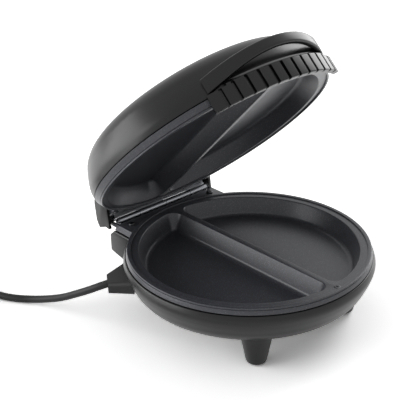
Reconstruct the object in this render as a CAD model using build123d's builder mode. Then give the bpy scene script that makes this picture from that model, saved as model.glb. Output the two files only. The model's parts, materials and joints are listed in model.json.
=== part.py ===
"""Round two-portion omelette maker: a hinged pair of heated plates in black shells.

The frame stands on the table under the centre of the lower plate: +Z up, the
front with the handle at -Y, the hinge at +Y. Lid pieces are drawn closed and
swung open to the rest pose when they are saved.
"""
from build123d import *
import math
import os

# ---------------------------------------------------------------- sizes (mm)
# overall
rim_height = 67.0          # top of the lower plate's rim above the table
rim_radius = 110.0         # outer edge of the lower plate's rim
lid_open = 45.3            # the lid's angle in the rest pose, from closed
wall = 2.5                 # moulded shells
plate_gap = 0.6            # parting gap between a plate's skirt and its shell
fit = 0.3                  # between pieces that only sit beside each other
play = 0.05                # radial running clearance of the hinge pin

# hinge
hinge_y = rim_radius + 10.0
hinge_drop = 1.8           # axis below the lower plate's rim
barrel_radius = 3.3
barrel_half = 55.5
knuckle_gap = 0.5
knuckle_outer = barrel_half - 24.0      # where the four knuckles part, from -X to +X
knuckle_middle = 2.5
knuckle_inner = barrel_half - 21.0
leaf_half = barrel_half + 1.5
leaf_front = hinge_y - 18.5
pin_radius = 1.5
pin_overhang = 1.5
leaf_thickness = 3.0
web_thickness = 3.3

# lower plate
skirt_drop = 5.8           # rim top to the skirt's lower edge
skirt_flare = 1.2
rim_width = 3.6
rim_step = 1.2             # rim top to the land
casting = 3.5
well_radius = rim_radius - 10.5
well_depth = 17.5
well_draft = 18.0
well_corner = 10.0
well_floor_round = 5.0
divider_half = 3.1
flange_half = leaf_half + 4.0
flange_flare = 3.0
flange_drop = 2.0          # rim top to the flange's top
flange_rear = hinge_y - 5.0
flange_front = 70.0

# base shell
# change of radius from the top edge, and height below the parting gap, down to the flat bottom
bowl_radius = rim_radius + skirt_flare + 1.1
bowl_shape = [(0.0, 0.0), (1.5, 5.6), (-0.1, 11.6), (-2.7, 17.6), (-5.5, 23.2), (-9.9, 28.4), (-17.3, 32.0)]
bowl_profile = [(bowl_radius + change, height) for change, height in bowl_shape]
housing_half = leaf_half + 9.0
housing_corner = 4.0
housing_overhang = 1.0     # the rear wall stands this far behind the hinge axis
housing_height = 22.6      # rear wall, from the parting gap down
housing_keel = 4.5         # fall of the housing's underside towards the bowl
housing_chamfer_y = 6.4
housing_chamfer_z = 5.6
foot_x = 57.0
foot_front = 66.5
foot_rear = 73.0
foot_top_radius = 16.0
foot_tip_radius = 9.4
foot_tip_round = 4.2
foot_height = 38.0
foot_floor = 6.0
pad_radius = 5.0
pad_thickness = 3.0
pad_proud = 0.8
pad_round = 0.6
rib_thickness = 2.0
rib_height = 4.0
rib_reach = 90.0
rib_ring = 66.0
vent_radius = 42.0
vent_length = 30.0
vent_width = 5.0

# screws
screw_head_radius = 3.0
screw_head_height = 1.8
screw_radius = 1.5
screw_length = 14.0
screw_bore = 12.0
boss_radius = 4.2
rear_screw_x = leaf_half - 6.6
rear_screw_y = hinge_y - 13.5
front_screw_y = rim_radius - 6.3
front_boss_depth = 4.6      # below the parting gap
front_screw_sink = 1.2

# upper plate
lip_radius = rim_radius + 5.5
lip_width = 2.0
lip_rise = 3.0             # rim top to the upper lip when closed
land_recess = 1.5
lid_centre_y = hinge_y - 2 - lip_radius
upper_skirt = 7.0
upper_flare = 3.0
cavity_radius = lip_radius - 8.0
cavity_centre_y = lid_centre_y + 2.5
cavity_depth = 17.0
cavity_draft = 24.0
cavity_corner = 12.0
ridge_half = 2.8
chord_y = hinge_y - 0.6            # the upper plate is cut straight behind this line
upper_screw_x = leaf_half + 1.0
upper_screw_y = hinge_y - 7.5
upper_front_y = lip_radius - 5.7 - lid_centre_y
upper_boss_rise = 3.0
upper_leaf_front = hinge_y - 12.0
upper_flange_half = leaf_half + 6.0
upper_flange_drop = 3.0    # upper lip to the flange's face
standoff_radius = 3.2

# lid shell
side_arcs = 6              # arcs that a turned side is made of
# change of radius from the lower edge, and height above the parting gap, up to the crown
dome_radius = lip_radius + upper_flare
dome_shape = [(0.0, 0.0), (0.2, 6.6), (-1.6, 13.6), (-4.3, 20.6), (-7.9, 27.6), (-13.9, 33.6), (-22.5, 37.8),
              (-36.5, 40.6), (-73.5, 42.1)]
dome_profile = [(dome_radius + change, height) for change, height in dome_shape]
# the rear housing's outline from the nose upwards: Y and Z from the hinge axis, lid closed
lid_housing_shape = [(4.2, -3.2), (5.8, -2.2), (8.0, 1.4), (17.9, 5.7), (16.5, 12.9), (3.6, 29.1),
                     (-25.0, 38.8), (-60.0, 40.8)]
lid_housing_lap = 7.9      # the outline's lower edge leaves the dome this far before the axis
lens_radius = 4.0
lens_rise = 40.6
lens_cap = 1.7
lamp_radius = 2.4
lamp_length = 9.0
lens_y = -72.0
lens_x = 9.0

# grip and handle; heights from the lid's parting gap, radii from the dome's
grip_half_angle = 35.0
grip_gap = 0.7
grip_thickness = 5.3
grip_drop = 14.6
grip_rise = 4.9
grip_crown = 3.0
grip_pitch = 5.4
grip_grooves = 12
grip_groove = 2.6
grip_groove_depth = 2.6
band_half_angle = 34.0
band_seat_turn = 26.8
band_height = 9.5
band_thickness = 5.5
band_reach = 12.5
band_root_reach = 2.5
band_low_root = 0.9
band_top_root = 15.4
band_top_middle = 21.9
handle_screw_length = 6.0
band_screw_turn = 31.2
band_screw_rise = 8.8
grip_screw_turn = 18.9
grip_screw_rise = 2.7

# heating
element_radius = 3.3
thermostat_radius = 8.0
thermostat_height = 7.0
fuse_radius = 2.0
fuse_length = 14.0
lead_radius = 1.3
mains_radius = 2.6
lower_element_ring = 72.0
upper_element_ring = 74.0
element_gap_angle = 50.0
cold_pin_radius = 1.6
cold_pin_length = 16.0
shield_thickness = 0.6
shield_radius = 97.0
shield_hole = 11.0
shield_gap = 0.9
post_ring = 86.0
post_radius = 3.0
thermostat_x = 30.0
terminal_inset = 13.5      # behind it the housing's rear wall
terminal_drop = 12.6
terminal_length = 36.0
terminal_width = 10.0
terminal_height = 11.0
# the supply lead's route inside: X, Y and the rise from where the cord goes out
mains_line = [(-93.7, 58.8, 0.0), (-87.004, 54.956, 1.55), (-80.5, 63.5, 1.8), (-66.0, 80.0, 1.5),
              (-44.0, 95.0, 2.5), (-30.0, 103.0, 3.0), (-18.0, 106.5, 3.0)]
mains_route = [(x, y, rim_height - 22.0 + rise) for x, y, rise in mains_line]
clamp_place = (-73.2, 71.7, rim_height - 20.4)
clamp_along = (0.66, 0.751, 0.0)
clamp_width = 9.0
clamp_length = 8.0
clamp_top = rim_height - 18.0

# cord
cord_diameter = 7.0
cord_exit_angle = 147.5
cord_exit_height = rim_height - 22.0
cord_rest = 3.6           # the middle of the cord where it lies
relief_root = 107.0
relief_tip = 129.0
relief_root_size = (46.0, 13.0)
relief_tip_size = (20.0, 10.5)
relief_fall = 5.0
relief_rounding = 0.3
# the cord's route from the shell to its coil: X, Y and the share of the way up to where it comes out
cord_line = [(-93.7, 58.8, 1.0), (-104.5, 65.0, 0.94), (-113.0, 73.5, 0.83), (-118.9, 83.2, 0.686),
             (-124.7, 97.9, 0.48), (-130.3, 113.4, 0.275), (-137.2, 132.2, 0.106), (-144.1, 147.9, 0.01),
             (-153.1, 159.9, 0.0), (-159.8, 172.0, 0.0), (-163.0, 185.5, 0.0), (-163.0, 197.5, 0.0)]
cord_fall = cord_exit_height - cord_rest
cord_route = [(x, y, cord_rest + share * cord_fall) for x, y, share in cord_line]
coil_centre = (-206.5, 223.0)
coil_inner = 32.5
coil_outer = 47.0
coil_height = 7.2
coil_top_from = -100.0     # where the last turn lies on the coil, degrees from +X
coil_top_arc = 165.0
coil_top_height = 6.3
plug_angle = 75.0          # where the cord enters the plug's neck, degrees from +X
plug_turn_out = 7.0
plug_reach = 41.5
plug_height = 15.4
plug_length = 25.0
plug_neck = 8.0
plug_rear_size = (16.0, 13.0)
plug_front_size = (24.0, 16.0)
pin_spacing = 12.7
pin_width = 6.3
pin_thick = 1.5
pin_length = 17.5

# ------------------------------------------------------------ derived places
hinge_z = rim_height - hinge_drop
hinge_line = Axis((0, hinge_y, hinge_z), (1, 0, 0))
land_z = rim_height - rim_step
skirt_z = rim_height - skirt_drop
shell_z = skirt_z - plate_gap
flange_z = rim_height - flange_drop
bowl_z = shell_z - bowl_profile[-1][1]
floor_z = bowl_z + wall
rib_z = floor_z + rib_height
well_base_z = land_z - well_depth - casting
lip_z = rim_height + lip_rise
upper_land_z = lip_z + land_recess
upper_skirt_z = lip_z + upper_skirt
lid_z = upper_skirt_z + plate_gap
housing_rear = hinge_y + housing_overhang
housing_foot = shell_z - housing_height
base_housing_side = [(0, housing_foot - housing_keel - 2.5), (housing_rear - 21, housing_foot - housing_keel),
                     (housing_rear - 9, housing_foot - 2), (housing_rear, housing_foot),
                     (housing_rear, shell_z - housing_chamfer_z),
                     (housing_rear - housing_chamfer_y, shell_z), (0, shell_z)]
lid_housing_front = hinge_y + lid_housing_shape[-1][0]
lid_housing_side = [(lid_housing_front, lid_z), (hinge_y - lid_housing_lap, lid_z)]
lid_housing_side += [(hinge_y + across, hinge_z + height) for across, height in lid_housing_shape]
front_boss_joint = shell_z - front_boss_depth
upper_stop_z = rim_height + fit + screw_head_height
upper_boss_top = upper_skirt_z + upper_boss_rise
grip_inner = dome_radius + grip_gap
grip_outer = grip_inner + grip_thickness
grip_bottom = lid_z - grip_drop
grip_top = lid_z + grip_rise
cavity_back_z = upper_land_z + cavity_depth + casting
front_screw = (0, -front_screw_y)
rear_screws = [(-rear_screw_x, rear_screw_y), (rear_screw_x, rear_screw_y)]
upper_screws = [(-upper_screw_x, upper_screw_y), (upper_screw_x, upper_screw_y)]
feet = [(sign * foot_x, place) for sign in (-1, 1) for place in (-foot_front, foot_rear)]

upward = (Align.CENTER, Align.CENTER, Align.MIN)
downward = (Align.CENTER, Align.CENTER, Align.MAX)

os.makedirs("parts", exist_ok=True)


def save(solid, name, on_lid=False):
    """Label a finished piece, swing it open if the lid carries it, and write it."""
    if on_lid:
        solid = solid.rotate(hinge_line, -lid_open)
    solid.label = name
    export_step(solid, f"parts/{name}.step")


def inset(points, depth):
    """A profile moved sideways by depth, along the normals of its own line."""
    moved = []
    for index, (radius, height) in enumerate(points):
        before = points[max(index - 1, 0)]
        after = points[min(index + 1, len(points) - 1)]
        run, rise = after[0] - before[0], after[1] - before[1]
        length = math.hypot(run, rise)
        moved.append((radius + depth * rise / length if radius > 0 else 0.0, height - depth * run / length))
    return moved


def cord_radii(route):
    """The largest radius for each corner of a route: 0.45 of its shorter run."""
    radii = []
    for before, corner, after in zip(route, route[1:], route[2:]):
        arriving = Vector(*corner) - Vector(*before)
        leaving = Vector(*after) - Vector(*corner)
        half_turn = math.radians(arriving.get_angle(leaving)) / 2
        radii.append(0.45 * min(arriving.length, leaving.length) / math.tan(half_turn))
    return radii


def upright(centre_y, angle=0.0):
    """The upright plane through the vertical axis at centre_y, facing out at an angle from +X."""
    turn = math.radians(angle)
    outward = (math.cos(turn), math.sin(turn), 0)
    return Plane((0, centre_y, 0), outward, (math.sin(turn), -math.cos(turn), 0))


def turned(points, centre_y, mouth_z):
    """A solid turned about the vertical: a side of short arcs that ends level, closed at mouth_z."""
    with BuildPart() as body:
        with BuildSketch(upright(centre_y)):
            with BuildLine():
                start = (0, points[1][1] - points[0][1])
                flow = Spline(*points, tangents=(start, (-1, 0)), mode=Mode.PRIVATE)
                marks = [flow @ (step / (2 * side_arcs)) for step in range(2 * side_arcs + 1)]
                marks[0] = Vector(*points[0])
                marks[-1] = Vector(*points[-1])
                for start, middle, end in zip(marks[:-1:2], marks[1::2], marks[2::2]):
                    ThreePointArc(start, middle, end)
                Line(points[-1], (0, points[-1][1]))
                Line((0, points[-1][1]), (0, mouth_z))
                Line((0, mouth_z), (points[0][0], mouth_z))
                if abs(mouth_z - points[0][1]) > play:
                    Line((points[0][0], mouth_z), points[0])
            make_face()
        revolve(axis=Axis((0, centre_y, 0), (0, 0, 1)))
    return body.part


def screws(places, head_z, side):
    """Pan-head screws at plan places, seated at head_z, the shank to one side: 1 up or -1 down."""
    shank, head = (upward, downward) if side > 0 else (downward, upward)
    with BuildPart() as row:
        with Locations([(*place, head_z) for place in places]):
            Cylinder(screw_head_radius, screw_head_height, align=head)
        ends = row.edges().group_by(Axis.Z)[0 if side > 0 else -1]
        fillet(ends, screw_head_height * 0.5)
        with Locations([(*place, head_z) for place in places]):
            Cylinder(screw_radius, screw_length, align=shank)
        with Locations([(*place, head_z - side * screw_head_height) for place in places]):
            Box(2.6, 0.7, 1.6, mode=Mode.SUBTRACT)
            Box(0.7, 2.6, 1.6, mode=Mode.SUBTRACT)
    return row.part


def ring_tube(ring, radius, height, centre_y, gap):
    """A round tube bent to a ring that stays open for a gap, in degrees, at the rear."""
    with BuildPart() as tube:
        with BuildSketch(upright(centre_y, 90 + gap / 2)):
            with Locations((ring, height)):
                Circle(radius)
        revolve(axis=Axis((0, centre_y, 0), (0, 0, 1)), revolution_arc=360 - gap)
    return tube.part


def half_round(radius, half_gap, corner, centre_y, height, depth, draft):
    """Two mirrored half-round blocks on each side of the middle, drafted away from their mouth."""
    with BuildPart() as block:
        with BuildSketch(Plane.XY.offset(height)) as outline:
            with Locations((0, centre_y)):
                Circle(radius)
            with Locations((half_gap, centre_y)):
                Rectangle(radius, 2 * radius, align=(Align.MIN, Align.CENTER), mode=Mode.INTERSECT)
            fillet(outline.vertices(), corner)
        extrude(amount=depth, taper=draft)
        floor = block.faces().sort_by(Axis.Z)[0 if depth < 0 else -1]
        fillet(floor.edges(), well_floor_round)
        mirror(about=Plane.YZ)
    return block.part

bowl = [(radius, shell_z - depth) for radius, depth in bowl_profile]
dome = [(radius, lid_z + height) for radius, height in dome_profile]
element_z = well_base_z - element_radius
upper_element_z = cavity_back_z + element_radius
shield_z = cavity_back_z + 2 * element_radius + shield_gap
terminal_y = housing_rear - terminal_inset
terminal_z = shell_z - terminal_drop
lens_z = lid_z + lens_rise
handle_screw_seat = dome_radius - wall - 0.5
band_screw_z = lid_z + band_screw_rise
grip_screw_z = lid_z + grip_screw_rise
pin_end_x = lower_element_ring * math.sin(math.radians(element_gap_angle / 2))
pin_end_y = lower_element_ring * math.cos(math.radians(element_gap_angle / 2)) - 2 + cold_pin_length + fit


def lead_route(side):
    """The lead from a heater's cold pin up to the terminal block, on one side of the middle."""
    return [(side * pin_end_x, pin_end_y, element_z), (side * pin_end_x, pin_end_y + 10.4, element_z + 0.5),
            (side * (pin_end_x - 8.4), terminal_y - 9.5, terminal_z - 3.5),
            (side * (pin_end_x - 18.4), terminal_y - 4.5, terminal_z - 2)]

upper_flange_z = lip_z + upper_flange_drop
upper_leaf_z = upper_skirt_z + leaf_thickness
knuckles = [-barrel_half, -knuckle_outer, knuckle_middle, knuckle_inner, barrel_half]

# -------------------------------------------------------------------- cord
exit_turn = math.radians(cord_exit_angle)
with BuildPart() as cord:
    with BuildLine() as cord_line:
        FilletPolyline(*cord_route, radius=cord_radii(cord_route))
    cord_path = cord_line.wires()[0]
    with BuildSketch(Plane(cord_route[0], z_dir=cord_path % 0)):
        Circle(cord_diameter / 2)
    sweep()
save(cord.part, "cord")
cord_section = math.pi * cord_diameter ** 2 / 4
print("cord radii", [round(radius, 1) for radius in cord_radii(cord_route)])
print("cord tube length", round(cord_path.length, 1))
print("cord volume share", round(cord.part.volume / (cord_section * cord_path.length), 4))

with BuildPart() as internal_leads:
    inside_routes = ((mains_route, mains_radius), (lead_route(-1), lead_radius), (lead_route(1), lead_radius))
    for route, radius in inside_routes:
        with BuildLine() as lead_line:
            FilletPolyline(*route, radius=cord_radii(route))
            lead_path = lead_line.wires()[0]
        with BuildSketch(Plane(route[0], z_dir=lead_path % 0)):
            Circle(radius)
        sweep(path=lead_path)
save(internal_leads.part, "internal_leads")

with BuildPart() as strain_relief:
    outward = Vector(math.cos(exit_turn), math.sin(exit_turn), 0)
    for reach, size in ((relief_root, relief_root_size), (relief_tip, relief_tip_size)):
        height = cord_exit_height - relief_fall * (reach - relief_root) / (relief_tip - relief_root)
        with BuildSketch(Plane(outward * reach + Vector(0, 0, height), x_dir=(0, 0, 1), z_dir=outward)):
            RectangleRounded(size[1], size[0], size[1] * relief_rounding)
    loft()
    add(cord.part, mode=Mode.SUBTRACT)
    add(internal_leads.part, mode=Mode.SUBTRACT)
save(strain_relief.part, "strain_relief")

# -------------------------------------------------------------- base shell
with BuildPart() as base_housing:
    with BuildSketch(Plane.YZ):
        Polygon(*base_housing_side, align=None)
    extrude(amount=housing_half, both=True)
    fillet(base_housing.edges().filter_by(Axis.Z).group_by(Axis.Y)[-1], housing_corner)

with BuildPart() as base_form:
    add(turned(bowl, 0, shell_z))
    add(base_housing.part)
    for place in feet:
        with Locations((*place, pad_proud)):
            Cone(foot_tip_radius, foot_top_radius, foot_height, align=upward)
    fillet(base_form.edges().group_by(Axis.Z)[0], foot_tip_round)

with BuildPart() as base_room:
    with BuildSketch(Plane.YZ):
        Polygon(*base_housing_side, align=None)
        offset(amount=-wall, kind=Kind.INTERSECTION)
        with Locations((0, rib_z + 1)):
            Rectangle(2 * housing_rear, 100, align=(Align.CENTER, Align.MIN), mode=Mode.INTERSECT)
        with Locations((housing_rear - housing_chamfer_y - wall / 2, shell_z - 2 * wall)):
            Rectangle(housing_rear - 30, 3 * wall, align=(Align.MAX, Align.MIN))
    extrude(amount=housing_half - wall, both=True)

with BuildPart() as base_shell:
    add(base_form.part)
    add(turned(inset(bowl, wall), 0, shell_z + 1), mode=Mode.SUBTRACT)
    add(base_room.part, mode=Mode.SUBTRACT)
    with Locations((0, hinge_y + 1, shell_z - leaf_thickness - fit)):
        Box(2 * leaf_half + 3, 2 * (hinge_y + 1 - leaf_front), 20, align=upward, mode=Mode.SUBTRACT)
    for place in feet:
        with Locations((*place, foot_floor)):
            Cone(foot_tip_radius - wall, foot_top_radius - wall, floor_z - foot_floor + 1, align=upward,
                 mode=Mode.SUBTRACT)
        with Locations((*place, 0)):
            Cylinder(pad_radius, pad_thickness, align=upward, mode=Mode.SUBTRACT)
    with Locations((0, 0, floor_z - 0.5)):
        Box(2 * rib_reach, rib_thickness, rib_height + 0.5, align=upward)
        Box(rib_thickness, 2 * rib_reach, rib_height + 0.5, align=upward)
    with BuildSketch(Plane.XY.offset(floor_z - 0.5)):
        Circle(rib_ring)
        Circle(rib_ring - rib_thickness, mode=Mode.SUBTRACT)
    extrude(amount=rib_height + 0.5)
    with Locations([(*place, floor_z - 1) for place in rear_screws]):
        Cylinder(boss_radius, shell_z - leaf_thickness - floor_z + 1, align=upward)
    with Locations((*front_screw, floor_z - 1)):
        Cylinder(boss_radius, front_boss_joint - floor_z + 1, align=upward)
    with Locations([(*place, shell_z) for place in rear_screws] + [(*front_screw, shell_z)]):
        Cylinder(screw_radius, screw_bore, align=downward, mode=Mode.SUBTRACT)
    with BuildSketch(Plane.XY.offset(bowl_z - 1)):
        with PolarLocations(vent_radius, 8, start_angle=22.5):
            SlotOverall(vent_length, vent_width)
    extrude(amount=wall + 2, mode=Mode.SUBTRACT)
    add(strain_relief.part, mode=Mode.SUBTRACT)
    add(cord.part, mode=Mode.SUBTRACT)
    add(internal_leads.part, mode=Mode.SUBTRACT)
    add(base_form.part, mode=Mode.INTERSECT)
save(base_shell.part, "base_shell")

with BuildPart() as foot_pads:
    with Locations([(*place, 0) for place in feet]):
        Cylinder(pad_radius, pad_thickness, align=upward)
    fillet(foot_pads.edges().group_by(Axis.Z)[0], pad_round)
save(foot_pads.part, "foot_pads")

# -------------------------------------------------- lower plate and screws
with BuildPart() as lower_cooking_plate:
    with BuildSketch(Plane.XY.offset(rim_height)):
        Circle(rim_radius)
    extrude(amount=-skirt_drop, taper=-math.degrees(math.atan(skirt_flare / skirt_drop)))
    flange_foot = (skirt_z, flange_half + flange_flare, flange_rear + 1)
    flange_levels = ((flange_z, flange_half, flange_rear), flange_foot)
    for height, half, rear in flange_levels:
        with BuildSketch(Plane.XY.offset(height)):
            with Locations((0, flange_front)):
                Rectangle(2 * half, rear - flange_front, align=(Align.CENTER, Align.MIN))
    loft()
    with BuildSketch(Plane.XY.offset(skirt_z)):
        Circle(rim_radius - casting)
    extrude(amount=land_z - casting - skirt_z, mode=Mode.SUBTRACT)
    with BuildSketch(Plane.XY.offset(skirt_z)):
        with Locations((0, flange_front)):
            depth = flange_rear - flange_front - 2.5
            Rectangle(2 * flange_half - 4, depth, align=(Align.CENTER, Align.MIN))
    extrude(amount=flange_z - casting + 0.5 - skirt_z, mode=Mode.SUBTRACT)
    add(half_round(well_radius + casting, divider_half - casting, well_corner + casting, 0, land_z - 0.5,
                   0.5 - well_depth - casting, well_draft))
    with Locations((*front_screw, land_z - 0.5)):
        Cylinder(boss_radius, land_z - 0.5 - front_boss_joint, align=downward)
    with Locations([(*place, flange_z - 0.5) for place in rear_screws]):
        Cylinder(boss_radius, flange_z - 0.5 - shell_z, align=downward)
    with BuildSketch(Plane.XY.offset(land_z)):
        Circle(rim_radius - rim_width)
    extrude(amount=rim_step, mode=Mode.SUBTRACT)
    add(half_round(well_radius, divider_half, well_corner, 0, land_z, -well_depth, well_draft),
        mode=Mode.SUBTRACT)
    with Locations([(*place, rim_height) for place in rear_screws] + [(*front_screw, rim_height)]):
        Cylinder(screw_radius, 20, align=downward, mode=Mode.SUBTRACT)
    with Locations((*front_screw, rim_height)):
        Cylinder(screw_head_radius + fit, rim_step + front_screw_sink, align=downward, mode=Mode.SUBTRACT)
save(lower_cooking_plate.part, "lower_cooking_plate")

lower_screws = screws(rear_screws, flange_z, -1) + screws([front_screw], land_z - front_screw_sink, -1)
save(lower_screws, "lower_plate_screws")

# ---------------------------------------------------- heating under the plate
with BuildPart() as lower_heating_element:
    add(ring_tube(lower_element_ring, element_radius, element_z, 0, element_gap_angle))
    for side in (-1, 1):
        end_x = side * lower_element_ring * math.sin(math.radians(element_gap_angle / 2))
        end_y = lower_element_ring * math.cos(math.radians(element_gap_angle / 2)) - 2
        with BuildSketch(Plane((end_x, end_y, element_z), (1, 0, 0), (0, 1, 0))):
            Circle(cold_pin_radius)
        extrude(amount=cold_pin_length)
save(lower_heating_element.part, "lower_heating_element")

with BuildPart() as lower_heat_reflector:
    with Locations((0, 0, rib_z)):
        Cylinder(shield_radius, shield_thickness, align=upward)
        Cylinder(shield_hole, 3, mode=Mode.SUBTRACT)
save(lower_heat_reflector.part, "lower_heat_reflector")

with BuildPart() as thermostat:
    with Locations((thermostat_x, 0, well_base_z)):
        Cylinder(thermostat_radius, thermostat_height, align=downward)
    fillet(thermostat.edges().group_by(Axis.Z)[0], 1)
    with Locations((thermostat_x, 0, well_base_z - 2.5)):
        Box(2 * thermostat_radius + 8, 5, 1, align=downward)
save(thermostat.part, "thermostat")

with BuildPart() as thermal_fuse:
    with BuildSketch(Plane.YZ):
        with Locations((0, well_base_z - fuse_radius)):
            Circle(fuse_radius)
    extrude(amount=fuse_length / 2, both=True)
save(thermal_fuse.part.translate((-thermostat_x, 0, 0)), "thermal_fuse")

# ------------------------------------------------------------ wiring inside
with BuildPart() as terminal_block:
    with Locations((0, terminal_y, terminal_z)):
        Box(terminal_length, terminal_width, terminal_height)
        with Locations((0, 0, terminal_height / 2)):
            with GridLocations(terminal_length / 3, 1, 3, 1):
                Cylinder(2, 4, mode=Mode.SUBTRACT)
    add(internal_leads.part, mode=Mode.SUBTRACT)
save(terminal_block.part, "terminal_block")


with BuildPart() as cord_clamp:
    with BuildSketch(Plane(clamp_place, z_dir=clamp_along)):
        Rectangle(clamp_width, 40)
    extrude(amount=clamp_length / 2, both=True)
    add(turned(inset(bowl, wall), 0, shell_z), mode=Mode.INTERSECT)
    with Locations((0, 0, clamp_top)):
        Box(400, 400, 60, align=upward, mode=Mode.SUBTRACT)
    add(internal_leads.part, mode=Mode.SUBTRACT)
    add(strain_relief.part, mode=Mode.SUBTRACT)
save(cord_clamp.part, "cord_clamp")

# ------------------------------------------------------------ coil and plug
coil_x, coil_y = coil_centre
coil_middle = (coil_inner + coil_outer) / 2
with BuildPart() as cord_coil:
    with Locations((coil_x, coil_y, 0)):
        Cylinder(coil_outer, coil_height, align=upward)
        Cylinder(coil_inner, 4 * coil_height, mode=Mode.SUBTRACT)
    top_from = math.radians(coil_top_from)
    with BuildSketch(Plane((coil_x, coil_y, 0), (math.cos(top_from), math.sin(top_from), 0),
                           (math.sin(top_from), -math.cos(top_from), 0))):
        with Locations((coil_middle, coil_height - 1)):
            Rectangle(cord_diameter, coil_top_height + 1, align=(Align.CENTER, Align.MIN))
    revolve(axis=Axis((coil_x, coil_y, 0), (0, 0, 1)), revolution_arc=coil_top_arc)
    with BuildSketch(Plane(cord_route[-1], z_dir=(0, 1, 0))):
        Circle(cord_diameter / 2)
    extrude(amount=coil_y - cord_diameter - cord_route[-1][1])
save(cord_coil.part, "cord_coil")

plug_turn = math.radians(plug_angle)
plug_swing = plug_turn + math.radians(plug_turn_out)
plug_heading = Vector(-math.sin(plug_swing), math.cos(plug_swing), 0)
plug_entry = Vector(coil_x + plug_reach * math.cos(plug_turn), coil_y + plug_reach * math.sin(plug_turn),
                    plug_height)
plug_middle = plug_entry + plug_heading * (plug_neck + plug_length / 2)
with BuildPart() as plug_body:
    for reach, size in ((-plug_length / 2, plug_rear_size), (plug_length / 2, plug_front_size)):
        with BuildSketch(Plane(plug_middle + plug_heading * reach, (0, 0, 1), plug_heading)):
            RectangleRounded(size[1], size[0], 3)
    loft()
    fillet(plug_body.faces().sort_by(Axis((0, 0, 0), plug_heading))[-1].edges(), 1.5)
    neck_ends = ((-plug_length / 2 - plug_neck, cord_diameter / 2 + 0.6),
                 (1 - plug_length / 2, cord_diameter / 2 + 2.5))
    for reach, radius in neck_ends:
        with BuildSketch(Plane(plug_middle + plug_heading * reach, (0, 0, 1), plug_heading)):
            Circle(radius)
    loft()
save(plug_body.part, "plug_body")

with BuildPart() as plug_pins:
    for side in (-1, 1):
        across = Vector(plug_heading.Y, -plug_heading.X, 0) * side * pin_spacing / 2
        pin_root = plug_middle + plug_heading * plug_length / 2 + across
        with BuildSketch(Plane(pin_root, (0, 0, 1), plug_heading)):
            Rectangle(pin_width, pin_thick)
        extrude(amount=pin_length)
    chamfer(plug_pins.faces().sort_by(Axis((0, 0, 0), plug_heading))[-2:].edges(), 0.4)
save(plug_pins.part, "plug_pins")

# ------------------------------------------------------------------- hinge
with BuildPart() as hinge_pin:
    with BuildSketch(Plane.YZ):
        with Locations((hinge_y, hinge_z)):
            Circle(pin_radius)
    extrude(amount=barrel_half, both=True)
    for side in (-1, 1):
        with BuildSketch(Plane((side * barrel_half, hinge_y, hinge_z), (0, 1, 0), (side, 0, 0))):
            Circle(pin_radius + 1.1)
        extrude(amount=pin_overhang)
save(hinge_pin.part, "hinge_pin")


def barrel(first, last):
    """One knuckle of the hinge between two places along X, bored for the pin."""
    with BuildPart() as knuckle:
        with BuildSketch(Plane.YZ.offset(first)):
            with Locations((hinge_y, hinge_z)):
                Circle(barrel_radius)
        extrude(amount=last - first)
    return knuckle.part


def leaf(flat_z, web_front, flat_front, flat_rear, clear_z, spans, places, cut=None):
    """A hinge leaf: a flat under its plate, a web to the barrel, and knuckles along the spans."""
    toward = 1 if flat_z < hinge_z else -1
    web_z = (flat_z + hinge_z) / 2
    with BuildPart() as made:
        with Locations((0, flat_front, flat_z)):
            Box(2 * leaf_half, flat_rear - flat_front, leaf_thickness,
                align=(Align.CENTER, Align.MIN, Align.MIN))
        fillet(made.edges().filter_by(Axis.Z), 3)
        edge_z = flat_z if toward > 0 else flat_z + leaf_thickness
        with Locations((0, web_front, edge_z)):
            Box(2 * leaf_half, web_thickness, abs(clear_z - edge_z),
                align=(Align.CENTER, Align.MIN, Align.MIN if toward > 0 else Align.MAX))
        for first, last in spans:
            low, high = sorted((edge_z, hinge_z))
            with Locations(((first + last) / 2, web_front, low)):
                Box(last - first, web_thickness, high - low, align=(Align.CENTER, Align.MIN, Align.MIN))
            add(barrel(first, last))
        with BuildSketch(Plane.YZ):
            with Locations((hinge_y, hinge_z)):
                Circle(pin_radius + play)
        extrude(amount=2 * leaf_half, both=True, mode=Mode.SUBTRACT)
        with Locations([(*place, flat_z) for place in places]):
            Cylinder(screw_radius, 4 * leaf_thickness, mode=Mode.SUBTRACT)
        if cut is not None:
            add(cut, mode=Mode.SUBTRACT)
    return made.part


cavity_wall = cavity_radius + casting
lower_spans = [(knuckles[0], knuckles[1]), (knuckles[2], knuckles[3] - knuckle_gap)]
upper_spans = [(knuckles[1] + knuckle_gap, knuckles[2] - knuckle_gap), (knuckles[3], knuckles[4])]
lower_leaf_z = shell_z - leaf_thickness
save(leaf(lower_leaf_z, hinge_y - 2, leaf_front, hinge_y + 1.3, hinge_z - barrel_radius - knuckle_gap,
          lower_spans, rear_screws),
     "lower_hinge_leaf")
upper_cut = half_round(cavity_wall + fit, ridge_half - casting, cavity_corner + casting, cavity_centre_y,
                       upper_land_z + 0.5, cavity_depth + casting - 0.5, cavity_draft)
save(leaf(upper_skirt_z, hinge_y, upper_leaf_front, hinge_y + 4, hinge_z + barrel_radius + knuckle_gap,
          upper_spans,
          upper_screws, upper_cut), "upper_hinge_leaf", on_lid=True)

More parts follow.
